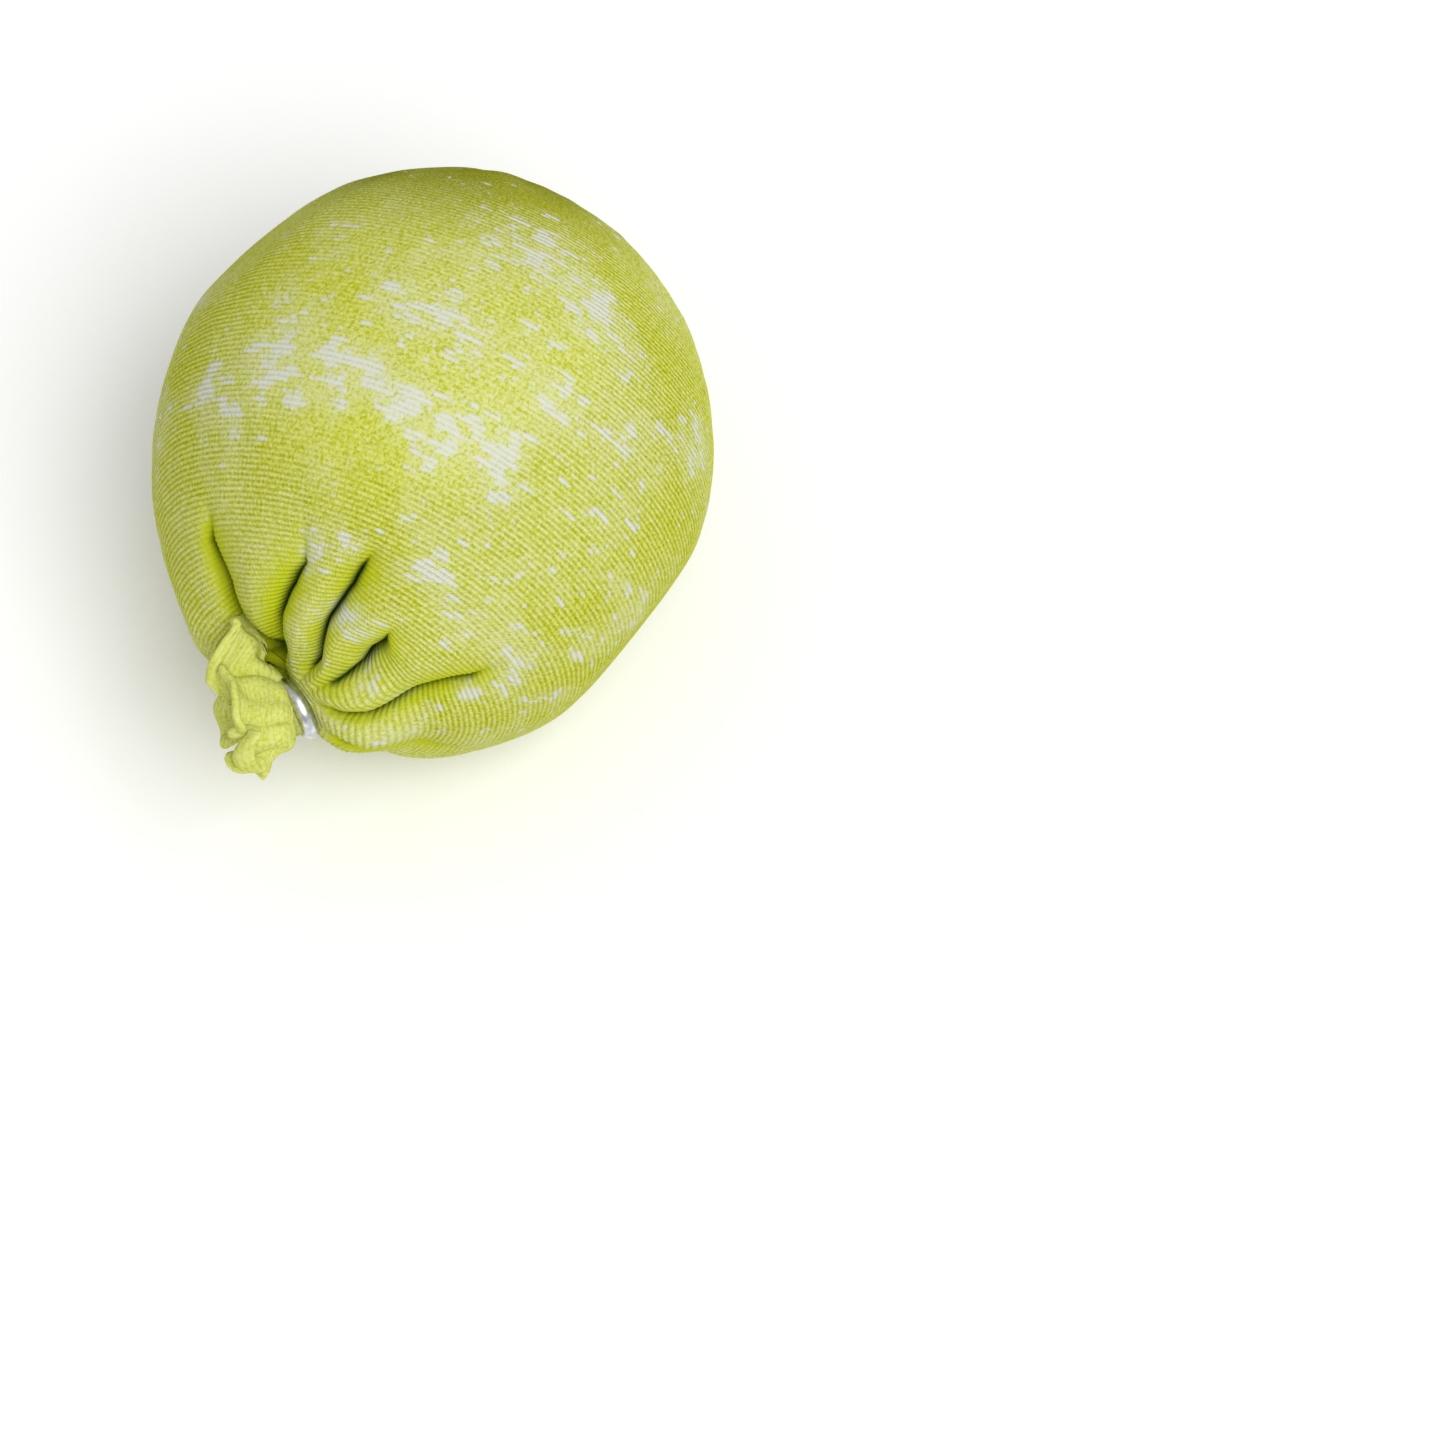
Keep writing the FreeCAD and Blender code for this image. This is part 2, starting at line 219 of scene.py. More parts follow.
def crease_field(angle, polar, radius, creases):
    """How deep the cloth lies, how far it is pushed sideways, and how folded it is, at each point."""
    depth = np.zeros_like(angle)
    sideways = np.zeros_like(angle)
    fold = np.zeros_like(angle)
    for crease in creases:
        across = np.radians(angle_between(angle, crease.angle_at(polar))) * radius
        wide = crease.width_at(polar)
        deep = crease.depth_at(polar)
        near = np.abs(across) / wide
        valley = np.exp(-near ** 0.9)
        depth = np.maximum(depth, deep * valley) + 0.15 * np.minimum(depth, deep * valley)
        pinch = np.sign(across) * near * np.exp(1 - near) * 0.28 * wide
        share = np.clip(deep / 4.0, 0, 1)
        lap = crease.lap * np.exp(-(near * 0.8) ** 2) * np.clip(radius / 8, 0, 1)
        sideways += share * (lap - pinch)
        fold = np.maximum(fold, share * np.exp(-near * 0.8))
    return depth, sideways, fold


def gathered_angles(columns, polar, radius, creases):
    """The angle of each column at one row: columns crowd into the creases, as the cloth does."""
    fine = np.linspace(-90, 270, 1441)
    density = np.ones_like(fine)
    for crease in creases:
        across = np.radians(angle_between(fine, crease.angle_at(polar))) * radius
        wide = crease.width_at(polar)
        density += 1.1 * crease.depth_at(polar) / wide * np.exp(-np.abs(across) / wide)
    total = np.concatenate([[0], np.cumsum((density[1:] + density[:-1]) / 2)])
    return np.interp(columns * total[-1], total, fine)


def lean_neck(points, reach=15.0, hold=4.6):
    """Bends the straight neck over to its real lean. Cloth near the clip turns with it fully."""
    clip = np.array([0, CLIP_Y, AXIS_Z])
    away = np.linalg.norm(points - clip, axis=1)
    turn = NECK_LEAN * (1 - smoothstep(hold, hold + reach, away))
    beyond = points[:, 1] < CLIP_Y - 1.0
    turn = np.where(beyond & (away < 3 * hold), NECK_LEAN, turn)
    return turn_about_neck(points, turn)


def turn_about_neck(points, turn):
    """Turns points about the vertical line through the neck's pivot, from straight towards -X."""
    x, y = points[:, 0], points[:, 1] - NECK_POINT[1]
    return np.column_stack([x * np.cos(turn) + y * np.sin(turn),
                            NECK_POINT[1] - x * np.sin(turn) + y * np.cos(turn), points[:, 2]])


# Where the herbs inside press the cloth out: angle round the ball, angle from the neck, size in
# degrees, and height
BULGES = [(192, 22, 11, 2.6), (160, 112, 24, 1.5), (-25, 11, 6, 1.4)]
# Where the ribs are worn flat: angle round the ball, and angle from the neck
WORN = (88, 92)

# The flats that the ball has picked up: (direction, distance from its middle, softness)
FLATS = [
    ((0.93, -0.22, -0.28), 41.7, 0.9),
    ((-0.80, 0.30, 0.52), 43.2, 0.9),
    ((-0.35, -0.45, -0.82), 42.8, 1.0),
]


def settle(points):
    """Flattens the ball where other things have pressed on it, and where it rests."""
    middle = np.array([0, EGG_MIDDLE_Y, AXIS_Z])
    for direction, limit, soft in FLATS:
        normal = np.array(direction) / np.linalg.norm(direction)
        over = (points - middle) @ normal - limit
        pushed = soft * np.logaddexp(0, over / soft)
        points = points - 0.85 * pushed[:, None] * normal
    soft = 0.5
    points[:, 2] = soft * np.logaddexp(0, points[:, 2] / soft)
    return points


def cloth_layer(outline_points, row_step, columns, inset=0.0, lumps=0.3, ridges=0.0):
    """A layer of the ball as a grid of rows from the neck to the navel, with its folds.

    inset moves it in from the outline, lumps is how uneven it is, and ridges is the height of the
    knit's ribs. The result is a dict of the grid and what each row or point is like.
    """
    along, outline = smooth_line(outline_points, row_step)
    slope = np.gradient(outline, axis=0)
    outward = np.column_stack([-slope[:, 1], slope[:, 0]]) / np.linalg.norm(slope, axis=1)[:, None]
    outline = outline - outward * inset
    polar = np.degrees(np.arctan2(outline[:, 1], EGG_MIDDLE_Y - outline[:, 0]))
    widest = np.argmax(outline[:, 1])
    shares = np.arange(columns) / columns
    rows = len(along)
    angle = np.empty((rows, columns))
    for row in range(rows):
        side = (polar[row], NECK_CREASES) if row < widest else (180 - polar[row], NAVEL_CREASES)
        angle[row] = gathered_angles(shares, side[0], outline[row, 1], side[1])
    angle = angle.ravel()
    y, radius = np.repeat(outline[:, 0], columns), np.repeat(outline[:, 1], columns)
    polar, distance = np.repeat(polar, columns), np.repeat(along, columns)
    normal = np.repeat(outward, columns, axis=0)
    on_neck_side = np.repeat(np.arange(rows) < widest, columns)
    neck = crease_field(angle, np.where(on_neck_side, polar, 90), radius, NECK_CREASES)
    navel = crease_field(angle, np.where(on_neck_side, 90, 180 - polar), radius, NAVEL_CREASES)
    depth, sideways = neck[0] + navel[0], neck[1] + navel[1]
    turn = np.radians(angle)
    spot = np.column_stack([np.cos(turn) * radius, y, np.sin(turn) * radius])
    from_pole = np.minimum(polar, 180 - polar)
    height = lumps * (soft_noise(spot, 75, 11, 1) + 0.2 * soft_noise(spot, 9, 12, 2))
    ripples = soft_noise(np.column_stack([np.cos(turn), y * 0.015, np.sin(turn)]), 0.55, 13, 2)
    height = (height + 0.7 * ripples * np.exp(-from_pole / 18)) * smoothstep(5, 12, from_pole)
    if ridges:
        for around, down, size, rise in BULGES:
            height += rise * np.exp(-(angle_from(spot, around, down) / size) ** 2)
    worn = angle_from(spot, *WORN) + 4 * soft_noise(spot, 30, 14, 2)
    gather = 1 - 0.85 * (1 - smoothstep(24, 50, worn))
    course = distance / COURSE_PITCH
    ridge = (0.5 - 0.5 * np.cos(TURN * course)) ** 0.8 - 0.5
    height += ridges * ridge * (0.3 + 0.7 * gather) * smoothstep(3, 9, radius)
    out = np.maximum(radius + normal[:, 1] * (height - depth), 0.4)
    across = turn + sideways / np.maximum(out, 3.0)
    points = np.column_stack([out * np.cos(across), y + normal[:, 0] * (height - depth),
                              AXIS_Z + out * np.sin(across)])
    points = settle(lean_neck(points))
    return {"grid": points.reshape(rows, columns, 3), "course": course.reshape(rows, columns)[:, 0],
            "radius": outline[:, 1],
            "fold": np.maximum(neck[2], navel[2]), "gather": gather, "spot": spot}


def grid_normals(grid):
    """Unit normals out of the cloth at a grid's points, from the points round each one."""
    down = np.gradient(grid, axis=0)
    across = np.roll(grid, -1, axis=1) - np.roll(grid, 1, axis=1)
    normal = np.cross(down, across)
    return normal / np.maximum(np.linalg.norm(normal, axis=2), 1e-9)[..., None]


def face_outwards(mesh):
    """Turns a mesh's faces round if they point inwards, which the volume inside them tells."""
    mesh.calc_loop_triangles()
    corners = np.empty(len(mesh.loop_triangles) * 3, np.int32)
    mesh.loop_triangles.foreach_get("vertices", corners)
    points = np.empty(len(mesh.vertices) * 3, np.float32)
    mesh.vertices.foreach_get("co", points)
    points = points.reshape(-1, 3) - points.reshape(-1, 3).mean(axis=0)
    a, b, c = points[corners.reshape(-1, 3)].transpose(1, 0, 2)
    if (np.cross(a, b) * c).sum() < 0:
        mesh.flip_normals()


def mesh_from_grid(name, grid, uv=None, cap=(False, False), values=None, normals=None):
    """A mesh over a grid (rows, columns, 3) that closes on itself round its columns.

    uv is the first column's and the row's coordinates: (u per column, v per row). cap closes the
    first and last rows with a fan. normals keeps the shading even where one cloth is two meshes.
    """
    rows, columns = grid.shape[:2]
    points = grid.reshape(-1, 3)
    index = np.arange(rows * columns).reshape(rows, columns)
    beside = np.roll(index, -1, axis=1)
    quads = np.stack([index[:-1], beside[:-1], beside[1:], index[1:]], axis=-1).reshape(-1, 4)
    faces = [tuple(face) for face in quads.tolist()]
    extra = []
    for end, wanted in ((0, cap[0]), (rows - 1, cap[1])):
        if wanted:
            middle = len(points) + len(extra)
            extra.append(grid[end].mean(axis=0))
            for k in range(columns):
                pair = (int(index[end, k]), int(beside[end, k]))
                faces.append((middle,) + (pair if end else pair[::-1]))
    if extra:
        points = np.vstack([points, extra])
    mesh = bpy.data.meshes.new(name)
    mesh.from_pydata((points * MM).tolist(), [], faces)
    if uv is not None:
        layer = mesh.uv_layers.new(name="stitches")
        across, up = uv
        step = across[1] - across[0]
        left = np.broadcast_to(across, (rows - 1, columns))
        low = np.broadcast_to(up[:-1, None], (rows - 1, columns))
        high = np.broadcast_to(up[1:, None], (rows - 1, columns))
        corners = np.stack([np.stack([left, low], -1), np.stack([left + step, low], -1),
                            np.stack([left + step, high], -1), np.stack([left, high], -1)], axis=2)
        flat = np.zeros(len(mesh.loops) * 2, np.float32)
        flat[:corners.size] = corners.reshape(-1)
        layer.data.foreach_set("uv", flat)
    for key, value in (values or {}).items():
        padded = np.concatenate([value.ravel(), np.zeros(len(extra))]).astype(np.float32)
        mesh.attributes.new(key, "FLOAT", "POINT").data.foreach_set("value", padded)
    mesh.polygons.foreach_set("use_smooth", np.ones(len(mesh.polygons), bool))
    mesh.update()
    face_outwards(mesh)
    if normals is not None:
        shading = np.concatenate([normals.reshape(-1, 3), np.zeros((len(extra), 3))])
        mesh.normals_split_custom_set_from_vertices(shading.tolist())
    piece = bpy.data.objects.new(name, mesh)
    bpy.context.scene.collection.objects.link(piece)
    return piece


# Painted shade: spots where the ball's far limb, at the top of the camera's view, is painted a darker
# olive: angle round the ball, angle from the neck, and size in degrees
LIMB_SHADE_SPOTS = [(108, 143, 24), (88, 150, 20), (128, 134, 14)]

# Where two folds meet and hardly any light gets in: angle round the ball, angle from the neck, size
FOLD_ROOTS = [(163, 10.5, 5.0), (150, 13, 4.0)]

# Where the cloth is rubbed pale: (angle round the ball, angle from the neck, size, amount)
RUBBED = [
    # over the top of the ball
    (86, 73, 8.0, 0.86), (75, 71.5, 8.5, 0.95), (65, 71, 8.5, 0.95), (103, 76, 8.0, 0.86),
    (94, 77, 8.0, 0.7), (136, 69, 7.0, 0.85), (127, 65, 6.0, 0.7), (118, 72, 9.0, 0.75),
    (108, 69, 6.0, 0.6), (58, 89, 9.0, 0.72), (45, 91, 8.0, 0.75), (20, 104, 10.0, 0.6),
    (84, 91, 13.0, 0.8), (97, 93, 9.0, 0.65), (78, 116, 16.0, 0.7), (60, 112, 13.0, 0.62),
    (95, 39, 6.0, 0.95), (88, 42, 5.0, 0.75), (62, 46, 5.5, 0.9), (30, 57, 6.0, 0.62),
    (22, 68, 7.0, 0.62), (45, 60, 6.0, 0.5), (80, 95, 26.0, 0.46), (118, 78, 16.0, 0.44),
    (35, 78, 22.0, 0.46), (60, 50, 14.0, 0.48), (12, 50, 15.0, 0.48),
    # on the lobes between the neck's creases
    (14, 24, 3.0, 0.75), (18, 32, 3.2, 0.8), (80, 27, 6.0, 0.85), (86, 15, 5.0, 0.5),
    (55, 18, 6.5, 0.6), (32, 20, 5.0, 0.45), (4, 24, 7.0, 0.45),
    # round the far and under sides
    (-60, 118, 12.0, 0.8), (-140, 95, 10.0, 0.75), (178, 110, 10.0, 0.6), (-20, 140, 9.0, 0.8),
    (-100, 60, 10.0, 0.6), (150, 145, 8.0, 0.5), (35, 152, 6.0, 0.8), (-40, 80, 12.0, 0.5),
    (-100, 110, 24.0, 0.45), (170, 80, 18.0, 0.45),
]


def rubbed_at(spot):
    """How rubbed the cloth is, from 0 to 1, at places given about the ball's own axis."""
    total = np.zeros(len(spot))
    for around, down, size, amount in RUBBED:
        total = np.maximum(total, amount * np.exp(-(angle_from(spot, around, down) / size) ** 2))
    return total


def near_any(spot, places):
    """How near places on the ball are to any of the given ones, from 0 to 1."""
    total = np.zeros(len(spot))
    for around, down, size in places:
        total = np.maximum(total, np.exp(-(angle_from(spot, around, down) / size) ** 2))
    return total


def knit_cover():
    """The cover as two meshes that meet without a step: the gathered neck, and the ball.

    The rim where they meet and the ball's shoulder next to it come back as points too.
    """
    layer = cloth_layer(NECK_END + EGG + NAVEL_END, COURSE_PITCH / ROWS_PER_COURSE, COLUMNS,
                        ridges=RIDGE_HEIGHT)
    rim = int(np.argmax(layer["radius"] > NECK_RIM_RADIUS))
    across = np.arange(COLUMNS) * WALES / COLUMNS
    normals = grid_normals(layer["grid"])
    # Painted shade: fold is how deep in a crease each point lies, raised where two folds meet; the knit
    # paints it darker.
    fold = np.maximum(layer["fold"], near_any(layer["spot"], FOLD_ROOTS))
    # limb_shade is painted shade: where the ball's far limb is painted a darker olive.
    values = {"fold": fold, "gather": layer["gather"],
              "rubbed": rubbed_at(layer["spot"]), "limb_shade": near_any(layer["spot"], LIMB_SHADE_SPOTS)}
    made = []
    for name, rows, cap in (("knit_neck", slice(0, rim + 1), (True, False)),
                            ("knit_ball", slice(rim, None), (True, True))):
        points = slice(rows.start * COLUMNS, rows.stop and rows.stop * COLUMNS)
        part = {key: value[points] for key, value in values.items()}
        made.append(mesh_from_grid(name, layer["grid"][rows], (across, layer["course"][rows]), cap,
                                   part, normals[rows]))
    shoulder = layer["grid"][rim:rim + SHOULDER_ROWS]
    return made[0], made[1], layer["grid"][rim], shoulder


def bend_span(rim):
    """Where the neck starts and stops bending: beyond the rim that stays on the ball, up to the clip."""
    middle = rim.mean(axis=0)
    around = rim - middle
    facing = np.cross(around, np.roll(around, -1, axis=0)).sum(axis=0)
    facing /= -np.linalg.norm(facing) * np.sign(facing[1])
    start = ((rim - middle) @ facing).max()
    clip_side = NECK_POINT + NECK_DIRECTION * (CLIP_REACH - CLIP_HALF_WIDTH)
    stop = (clip_side - middle) @ facing
    return middle + facing * start, middle + facing * max(stop, start + 1.2)


# The inner layers start at the muslin's tied mouth and end under the navel's tuft.
INNER_NECK = [(-37.2, 3.0), (-38.0, 4.6), (-38.9, 7.2), (-39.9, 10.6), (-40.6, 15.0)]
INNER_NAVEL = [(45.0, 13.0), (43.6, 8.6), (41.8, 5.2), (40.4, 2.0)]


def inner_layer(name, inset, lumps):
    """A hidden layer inset from the ball's outline, coarser than the knit and closed at both ends."""
    layer = cloth_layer(INNER_NECK + EGG + INNER_NAVEL, 1.0, 180, inset=inset, lumps=lumps)
    return mesh_from_grid(name, layer["grid"], cap=(True, True))


# --- Materials ---------------------------------------------------------------------------------

class Nodes:
    """Builds a node material with short calls. Sockets and plain numbers can both be inputs."""

    def __init__(self, name):
        self.material = bpy.data.materials.new(name)
        self.material.use_nodes = True
        self.tree = self.material.node_tree
        self.shader = self.tree.nodes["Principled BSDF"]

    def node(self, kind, inputs=(), **settings):
        made = self.tree.nodes.new(kind)
        for key, value in settings.items():
            setattr(made, key, value)
        for key, value in dict(inputs).items():
            self.feed(made.inputs[key], value)
        return made

    def feed(self, socket, value):
        if isinstance(value, bpy.types.NodeSocket):
            self.tree.links.new(value, socket)
        else:
            socket.default_value = value

    def math(self, operation, a, b=0.0, c=0.0, clamp=False):
        inputs = {0: a, 1: b}
        if operation == "MULTIPLY_ADD":
            inputs[2] = c
        return self.node("ShaderNodeMath", inputs, operation=operation, use_clamp=clamp).outputs[0]

    def spread(self, value, low, high, to_low=0.0, to_high=1.0):
        inputs = {"Value": value, "From Min": low, "From Max": high, "To Min": to_low, "To Max": to_high}
        return self.node("ShaderNodeMapRange", inputs, interpolation_type="SMOOTHSTEP").outputs[0]

    def mix(self, share, a, b):
        made = self.node("ShaderNodeMix", data_type="RGBA")
        for socket, value in ((made.inputs[0], share), (made.inputs[6], a), (made.inputs[7], b)):
            self.feed(socket, value)
        return made.outputs[2]

    def noise(self, vector, scale, detail=2.0, roughness=0.5):
        inputs = {"Vector": vector, "Scale": scale, "Detail": detail, "Roughness": roughness}
        return self.node("ShaderNodeTexNoise", inputs).outputs["Fac"]

    def place(self):
        return self.node("ShaderNodeTexCoord").outputs["Object"]

    def attribute(self, name):
        return self.node("ShaderNodeAttribute", attribute_name=name).outputs["Fac"]

    def combine(self, x, y, z=0.0):
        return self.node("ShaderNodeCombineXYZ", {0: x, 1: y, 2: z}).outputs[0]

    def bump(self, height, distance, strength=1.0, normal=None):
        made = self.node("ShaderNodeBump", {"Height": height, "Distance": distance, "Strength": strength})
        if normal is not None:
            self.feed(made.inputs["Normal"], normal)
        return made.outputs[0]

    def set(self, **values):
        for key, value in values.items():
            self.feed(self.shader.inputs[key.replace("_", " ")], value)
        return self.material


def rgb(red, green, blue):
    """A colour given in 0 to 255 display values, as linear light."""
    def linear(value):
        value /= 255
        return value / 12.92 if value <= 0.04045 else ((value + 0.055) / 1.055) ** 2.4
    return (linear(red), linear(green), linear(blue), 1.0)


def knit_material(name, rubbed=True, relief=1.0, paler=0.0):
    """Lime knit: pale stitches with deeper green between them, and dashes of them rubbed white. It also
    paints shade: a darker olive over the ball's far limb, and deeper lime to dark green in the folds.
    """
    n = Nodes(name)
    uv = n.node("ShaderNodeUVMap", uv_map="stitches").outputs[0]
    parts = n.node("ShaderNodeSeparateXYZ", {0: uv}).outputs
    place = n.place()
    wander = n.math("MULTIPLY_ADD", n.noise(place, 300.0, 1.0), 0.9, -0.45)
    wale = n.math("ADD", parts[0], wander)
    course = n.math("ADD", parts[1], n.math("MULTIPLY_ADD", n.noise(place, 420.0, 1.0), 0.3, -0.15))
    wale_number = n.math("FLOOR", wale)
    course_number = n.math("FLOOR", course)
    bead = n.spread(n.math("PINGPONG", wale, 0.5), 0.0, 0.42)
    ridge = n.spread(n.math("PINGPONG", course, 0.5), 0.02, 0.42)
    gather = n.attribute("gather")
    stroke_place = n.combine(n.math("MULTIPLY", wale, 1.5), n.math("MULTIPLY", course, 1.1))
    stroke = n.noise(stroke_place, 1.0, 3.0, 0.7)
    grain = n.noise(place, 1900.0, 2.0, 0.6)
    speckle = n.math("MULTIPLY_ADD", stroke, 0.5, n.math("MULTIPLY", grain, 0.5))
    fibre = n.noise(place, 2600.0, 2.0, 0.7)
    stitch = n.math("MULTIPLY", ridge, n.math("MULTIPLY_ADD", bead, 0.35, 0.65))
    height = n.math("MULTIPLY", stitch, n.math("MULTIPLY_ADD", gather, 0.75, 0.25))
    height = n.math("ADD", height, n.math("MULTIPLY", speckle, 1.6))
    height = n.math("ADD", height, n.math("MULTIPLY", fibre, 0.3))

    cell = n.combine(wale_number, course_number)
    chance = n.node("ShaderNodeTexWhiteNoise", {"Vector": cell}, noise_dimensions="2D").outputs["Value"]
    broad = n.spread(n.noise(place, 34.0, 3.0, 0.6), 0.34, 0.66)
    saturated = n.mix(paler, n.mix(broad, rgb(182, 188, 26), rgb(190, 196, 62)), rgb(196, 202, 92))
    pale = n.mix(paler, n.mix(broad, rgb(206, 210, 106), rgb(211, 214, 144)), rgb(208, 213, 126))
    # Painted shade: the ball's far limb is painted a darker olive, and the rubbed haze is held back there.
    limb_shade = n.attribute("limb_shade")
    saturated = n.mix(n.math("MULTIPLY", limb_shade, 0.9), saturated, rgb(118, 120, 6))
    pale = n.mix(n.math("MULTIPLY", limb_shade, 0.85), pale, rgb(140, 141, 28))
    deep = n.mix(gather, rgb(160, 168, 30), n.mix(broad, rgb(134, 142, 6), rgb(150, 158, 34)))
    light = n.math("MULTIPLY_ADD", chance, 0.06, speckle)
    cloth = n.mix(n.spread(light, 0.4, 0.66), saturated, pale)
    open_knit = n.math("MULTIPLY_ADD", gather, -0.6, 1.0)
    shade = n.math("MULTIPLY", n.spread(speckle, 0.36, 0.5, 0.62, 0.0), open_knit)
    cloth = n.mix(shade, cloth, deep)
    gap = n.math("MULTIPLY", n.spread(stitch, 0.0, 0.6, 0.85, 0.0), n.spread(stroke, 0.3, 0.6, 1.0, 0.5))
    gap = n.math("MULTIPLY", gap, n.math("MULTIPLY_ADD", gather, 0.8 * relief, 0.2 * relief))
    cloth = n.mix(gap, cloth, deep)

    if rubbed:
        dash_place = n.combine(n.math("MULTIPLY", wale, 0.2), n.math("MULTIPLY", course_number, 0.42))
        dash = n.noise(dash_place, 1.0, 1.0, 0.5)
        region = n.noise(place, 80.0, 3.0, 0.6)
        rubbed_share = n.attribute("rubbed")
        haze = n.math("MULTIPLY_ADD", rubbed_share, 0.3, n.math("MULTIPLY", region, 0.9))
        haze = n.math("MULTIPLY", n.spread(haze, 0.44, 0.74), n.spread(speckle, 0.36, 0.6, 0.2, 0.9))
        haze = n.math("MULTIPLY", haze, n.math("MULTIPLY_ADD", limb_shade, -0.95, 1.0))
        cloth = n.mix(haze, cloth, rgb(204, 207, 150))
        wear = n.math("MULTIPLY_ADD", rubbed_share, 0.4, n.math("MULTIPLY", region, 0.7))
        wear = n.math("MULTIPLY_ADD", dash, 1.15, wear)
        wear = n.math("MULTIPLY_ADD", chance, 0.08, wear)
        wear = n.math("MULTIPLY_ADD", speckle, 0.3, wear)
        specks = n.spread(n.math("MULTIPLY_ADD", region, 0.06, chance), 1.0, 1.04, 0.0, 0.35)
        white = n.math("MAXIMUM", n.spread(wear, 1.34, 1.5), specks)
        thread = n.spread(stitch, 0.0, 0.75, 0.42, 0.94)
        cloth = n.mix(n.math("MULTIPLY", white, thread), cloth, rgb(207, 209, 203))
    # Painted shade in the folds: a deeper, saturated lime along their walls and dark green where they are
    # deepest, with less of it where the cloth is rubbed.
    fold = n.attribute("fold")
    fold_shade = n.math("MULTIPLY_ADD", n.attribute("rubbed"), -1.1, 1.0, clamp=True)
    fold_shade = n.math("MULTIPLY", n.spread(fold, 0.08, 0.5, 0.0, 0.9), fold_shade)
    cloth = n.mix(fold_shade, cloth, rgb(184, 193, 10))
    cloth = n.mix(n.spread(fold, 0.5, 0.92, 0.0, 0.95), cloth, rgb(50, 82, 10))
    normal = n.bump(height, 0.0002, 0.8 * relief)
    return n.set(Base_Color=cloth, Roughness=0.88, Normal=normal, Specular_IOR_Level=0.02)


def muslin_material():
    """Unbleached muslin: a fine open weave with slubs, stained faintly by the herbs."""
    n = Nodes("muslin")
    place = n.place()
    weave = n.node("ShaderNodeTexWave", {"Vector": place, "Scale": 420.0, "Distortion": 0.6}).outputs["Fac"]
    slubs = n.noise(place, 180.0, 3.0, 0.6)
    stain = n.noise(place, 40.0, 2.0)
    colour = n.mix(n.spread(stain, 0.4, 0.7), rgb(232, 224, 200), rgb(214, 202, 158))
    colour = n.mix(n.spread(slubs, 0.5, 0.7, 0.0, 0.4), colour, rgb(240, 234, 216))
    normal = n.bump(n.math("ADD", weave, slubs), 0.0002, 0.6)
    return n.set(Base_Color=colour, Roughness=0.9, Normal=normal)


def ground_herb_material():
    """Packed dry herbs: brown, ochre and green flecks."""
    n = Nodes("ground_herbs")
    place = n.place()
    flakes = n.node("ShaderNodeTexVoronoi", {"Vector": place, "Scale": 520.0, "Randomness": 1.0})
    shade = n.node("ShaderNodeSeparateXYZ", {0: flakes.outputs["Color"]}).outputs
    colour = n.mix(shade[0], rgb(122, 96, 52), rgb(176, 140, 74))
    colour = n.mix(n.spread(shade[1], 0.6, 0.9), colour, rgb(104, 116, 58))
    height = n.math("ADD", flakes.outputs["Distance"], n.noise(place, 900.0, 3.0))
    return n.set(Base_Color=colour, Roughness=0.95, Normal=n.bump(height, 0.0006, 0.7))


def plant_material(name, dark, light, scale, stretch, roughness=0.75, bump=0.0003):
    """A dried plant or mineral: streaks between two colours, stretched along one direction."""
    n = Nodes(name)
    place = n.node("ShaderNodeMapping", {"Vector": n.place(), "Scale": stretch}).outputs[0]
    grain = n.noise(place, scale, 4.0, 0.62)
    specks = n.noise(n.place(), scale * 4, 2.0)
    colour = n.mix(n.spread(grain, 0.32, 0.68), dark, light)
    colour = n.mix(n.spread(specks, 0.58, 0.72, 0.0, 0.5), colour, dark)
    normal = n.bump(n.math("ADD", grain, n.math("MULTIPLY", specks, 0.4)), bump, 0.8)
    return n.set(Base_Color=colour, Roughness=roughness, Normal=normal)


def thread_material():
    n = Nodes("cotton_thread")
    place = n.place()
    twist = n.node("ShaderNodeTexWave", {"Vector": place, "Scale": 700.0, "Distortion": 1.5}).outputs["Fac"]
    colour = n.mix(n.spread(n.noise(place, 500.0), 0.35, 0.65), rgb(214, 214, 190), rgb(236, 234, 220))
    return n.set(Base_Color=colour, Roughness=0.85, Normal=n.bump(twist, 0.0002, 0.7))


def clip_material():
    n = Nodes("clip_aluminium")
    place = n.place()
    drawn = n.noise(place, 900.0, 3.0, 0.6)
    dents = n.noise(place, 260.0, 1.0)
    colour = n.mix(n.spread(drawn, 0.35, 0.7), rgb(188, 190, 194), rgb(226, 227, 230))
    rough = n.spread(dents, 0.3, 0.7, 0.26, 0.4)
    normal = n.bump(dents, 0.0002, 0.25, n.bump(drawn, 0.00002, 0.3))
    return n.set(Base_Color=colour, Metallic=1.0, Roughness=rough, Normal=normal)


def finish_piece(piece, material, slot, *nodes):
    piece.data.materials.clear()
    piece.data.materials.append(material)
    if nodes:
        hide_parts(*nodes)
    return piece


# --- The clip ----------------------------------------------------------------------------------

def on_neck(points):
    """Points built about +Z from the neck's pivot, put on the leaning neck."""
    y_axis = np.array([0.0, 0.0, 1.0])
    x_axis = np.cross(y_axis, NECK_DIRECTION)
    return NECK_POINT + points[:, :1] * x_axis + points[:, 1:2] * y_axis + points[:, 2:3] * NECK_DIRECTION


